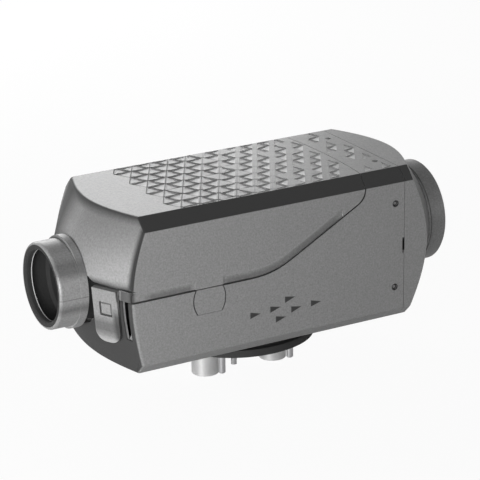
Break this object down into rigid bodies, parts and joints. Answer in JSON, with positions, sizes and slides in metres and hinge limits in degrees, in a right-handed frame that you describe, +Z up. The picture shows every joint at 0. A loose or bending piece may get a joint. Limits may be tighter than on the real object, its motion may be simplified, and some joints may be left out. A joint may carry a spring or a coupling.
{
  "type": "petrol parking heater",
  "caption": "Petrol-fired air heater in a chamfered plastic housing, with round air collars at both ends and a stud-mounted base carrying fuel, air and exhaust pipes.",
  "frame": {"origin": "centre of the four mounting studs, on the underside of the base gasket", "axes": "+X along the warm air, from the inlet collar to the outlet collar; +Z up, away from the mounting face"},
  "size_m": [0.372, 0.142, 0.1772],
  "materials": {
    "housing_plastic": "fine-textured satin grey moulding",
    "gasket_rubber": "matt black rubber",
    "pipe_metal": "bright turned metal",
    "zinc_steel": "bright zinc-plated steel",
    "cast_aluminium": "as-cast aluminium",
    "heat_steel": "heat-stained sheet steel",
    "motor_steel": "drawn steel",
    "black_plastic": "matt black moulding",
    "lead_sheath": "soft silicone sheath"
  },
  "bodies": {
    "heater": {"lower_shell": "housing_plastic", "outlet_hood": "housing_plastic", "inlet_collar": "housing_plastic", "outlet_collar": "housing_plastic", "cable_port_plug": "housing_plastic", "cable_grommet": "gasket_rubber", "base_gasket": "gasket_rubber", "mounting_studs": "zinc_steel", "combustion_air_pipe": "pipe_metal", "exhaust_pipe": "pipe_metal", "fuel_pipe": "zinc_steel", "heat_exchanger": "cast_aluminium", "burner_flange": "cast_aluminium", "combustion_chamber": "heat_steel", "flame_tube": "heat_steel", "glow_plug": "zinc_steel", "overheat_sensor": "black_plastic", "sensor_clip": "zinc_steel", "burner_fan_housing": "cast_aluminium", "motor_can": "motor_steel", "motor_end_cap": "motor_steel", "motor_bearings": "zinc_steel", "motor_stator": "motor_steel", "blower_holder": "black_plastic", "case_screws": "zinc_steel", "control_unit": "black_plastic", "unit_screws": "zinc_steel", "lead_plug": "black_plastic", "sensor_lead": "lead_sheath", "glow_lead": "lead_sheath"},
    "rotor": {"motor_shaft": "zinc_steel", "heating_air_fan": "black_plastic", "combustion_air_fan": "black_plastic", "motor_magnet": "motor_steel"},
    "cover": {"upper_cover": "housing_plastic"}
  },
  "joints": [
    {"name": "blower_spin", "type": "hinge", "parent": "heater", "child": "rotor", "pos_m": [-0.13, 0, 0.083], "axis": [1, 0, 0], "continuous": true},
    {"name": "cover_lift", "type": "slide", "parent": "heater", "child": "cover", "axis": [-0.1191, 0, 0.9929], "range_m": [0, 0.12]}
  ]
}
